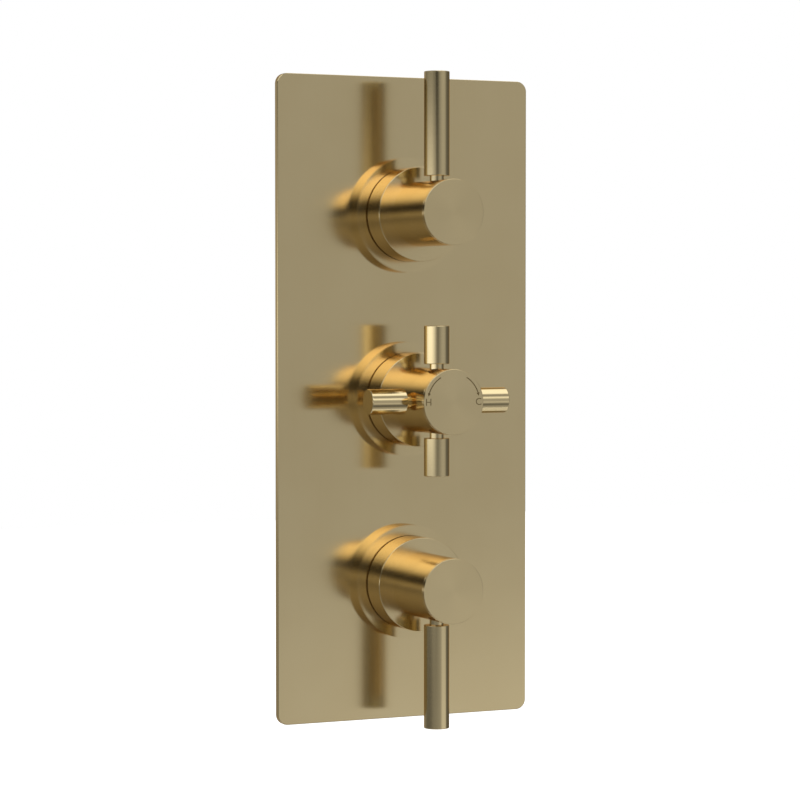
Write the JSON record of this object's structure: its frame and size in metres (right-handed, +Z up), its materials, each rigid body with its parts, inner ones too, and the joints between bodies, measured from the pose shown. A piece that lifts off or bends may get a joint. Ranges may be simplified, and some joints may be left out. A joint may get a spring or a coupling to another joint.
{
  "type": "thermostatic shower valve",
  "caption": "Concealed thermostatic shower valve: tall faceplate, rod levers for flow at top and bottom, a cross handle for temperature between, and valve bodies behind the wall.",
  "frame": {"origin": "centre of the faceplate's back rim, on the finished wall's plane", "axes": "+X to the user's right, +Y into the wall, +Z up; the knobs point along -Y"},
  "size_m": [0.132, 0.1267, 0.31],
  "materials": {
    "brushed_brass": "finely brushed",
    "plain_brass": "machined",
    "copper": "drawn copper",
    "stainless_steel": "satin",
    "black_rubber": "matt",
    "foam": "closed-cell foam",
    "ceramic": "lapped ceramic",
    "white_plastic": "moulded",
    "black_plastic": "moulded"
  },
  "bodies": {
    "valve": {"cartridge_o_rings": "black_rubber", "check_valve_housings": "white_plastic", "collar_o_rings": "black_rubber", "disc_seat_seals": "black_rubber", "faceplate": "brushed_brass", "fixed_ceramic_discs": "ceramic", "inlet_filters": "stainless_steel", "lower_cartridge_housing": "plain_brass", "lower_collar": "brushed_brass", "lower_flow_body": "plain_brass", "lower_link_tube": "copper", "lower_sleeve": "brushed_brass", "plate_gasket": "foam", "spindle_o_rings": "black_rubber", "temperature_collar": "brushed_brass", "temperature_sleeve": "brushed_brass", "temperature_stop_ring": "black_plastic", "thermostat_housing": "plain_brass", "thermostat_o_rings": "black_rubber", "thermostat_retaining_nut": "plain_brass", "thermostatic_body": "plain_brass", "tube_nuts": "plain_brass", "tube_olives": "plain_brass", "upper_cartridge_housing": "plain_brass", "upper_collar": "brushed_brass", "upper_flow_body": "plain_brass", "upper_link_tube": "copper", "upper_sleeve": "brushed_brass"},
    "top_lever": {"upper_knob": "brushed_brass", "upper_cap": "brushed_brass", "upper_lever": "brushed_brass", "upper_handle_screw": "stainless_steel", "upper_adaptor": "white_plastic", "upper_spindle": "plain_brass", "upper_moving_disc": "ceramic"},
    "bottom_lever": {"lower_knob": "brushed_brass", "lower_cap": "brushed_brass", "lower_lever": "brushed_brass", "lower_handle_screw": "stainless_steel", "lower_adaptor": "white_plastic", "lower_spindle": "plain_brass", "lower_moving_disc": "ceramic"},
    "temperature_handle": {"temperature_knob": "brushed_brass", "temperature_cap": "brushed_brass", "temperature_handle_screw": "stainless_steel", "temperature_adaptor": "white_plastic", "temperature_spindle": "plain_brass", "cross_spokes": "brushed_brass"},
    "thermostat_slide": {"regulator_nut": "plain_brass", "overload_spring": "stainless_steel", "wax_capsule": "copper", "mixing_shuttle": "black_plastic", "return_spring": "stainless_steel"},
    "hot_poppet": {"hot_check_poppet": "black_plastic", "hot_check_spring": "stainless_steel"},
    "cold_poppet": {"cold_check_poppet": "black_plastic", "cold_check_spring": "stainless_steel"}
  },
  "joints": [
    {"name": "top_lever_turn", "type": "hinge", "parent": "valve", "child": "top_lever", "pos_m": [0, -0.0397, 0.0885], "axis": [0, -1, 0], "range_deg": [0, 90]},
    {"name": "bottom_lever_turn", "type": "hinge", "parent": "valve", "child": "bottom_lever", "pos_m": [0, -0.0397, -0.0885], "axis": [0, -1, 0], "range_deg": [0, 90]},
    {"name": "temperature_turn", "type": "hinge", "parent": "valve", "child": "temperature_handle", "pos_m": [0, -0.0397, 0], "axis": [0, -1, 0], "range_deg": [-135, 135]},
    {"name": "thermostat_travel", "type": "slide", "parent": "valve", "child": "thermostat_slide", "axis": [0, 1, 0], "range_m": [-0.00076, 0.00076], "deforming": ["return_spring"]},
    {"name": "hot_check_open", "type": "slide", "parent": "valve", "child": "hot_poppet", "axis": [1, 0, 0], "range_m": [0, 0.002], "stiffness_N_per_m": 40, "springref_m": -0.002, "deforming": ["hot_check_spring"]},
    {"name": "cold_check_open", "type": "slide", "parent": "valve", "child": "cold_poppet", "axis": [-1, 0, 0], "range_m": [0, 0.002], "stiffness_N_per_m": 40, "springref_m": -0.002, "deforming": ["cold_check_spring"]}
  ],
  "couplings": [
    {"joint": "thermostat_travel", "follows": "temperature_turn", "m_per_rad": 0.00031831}
  ]
}
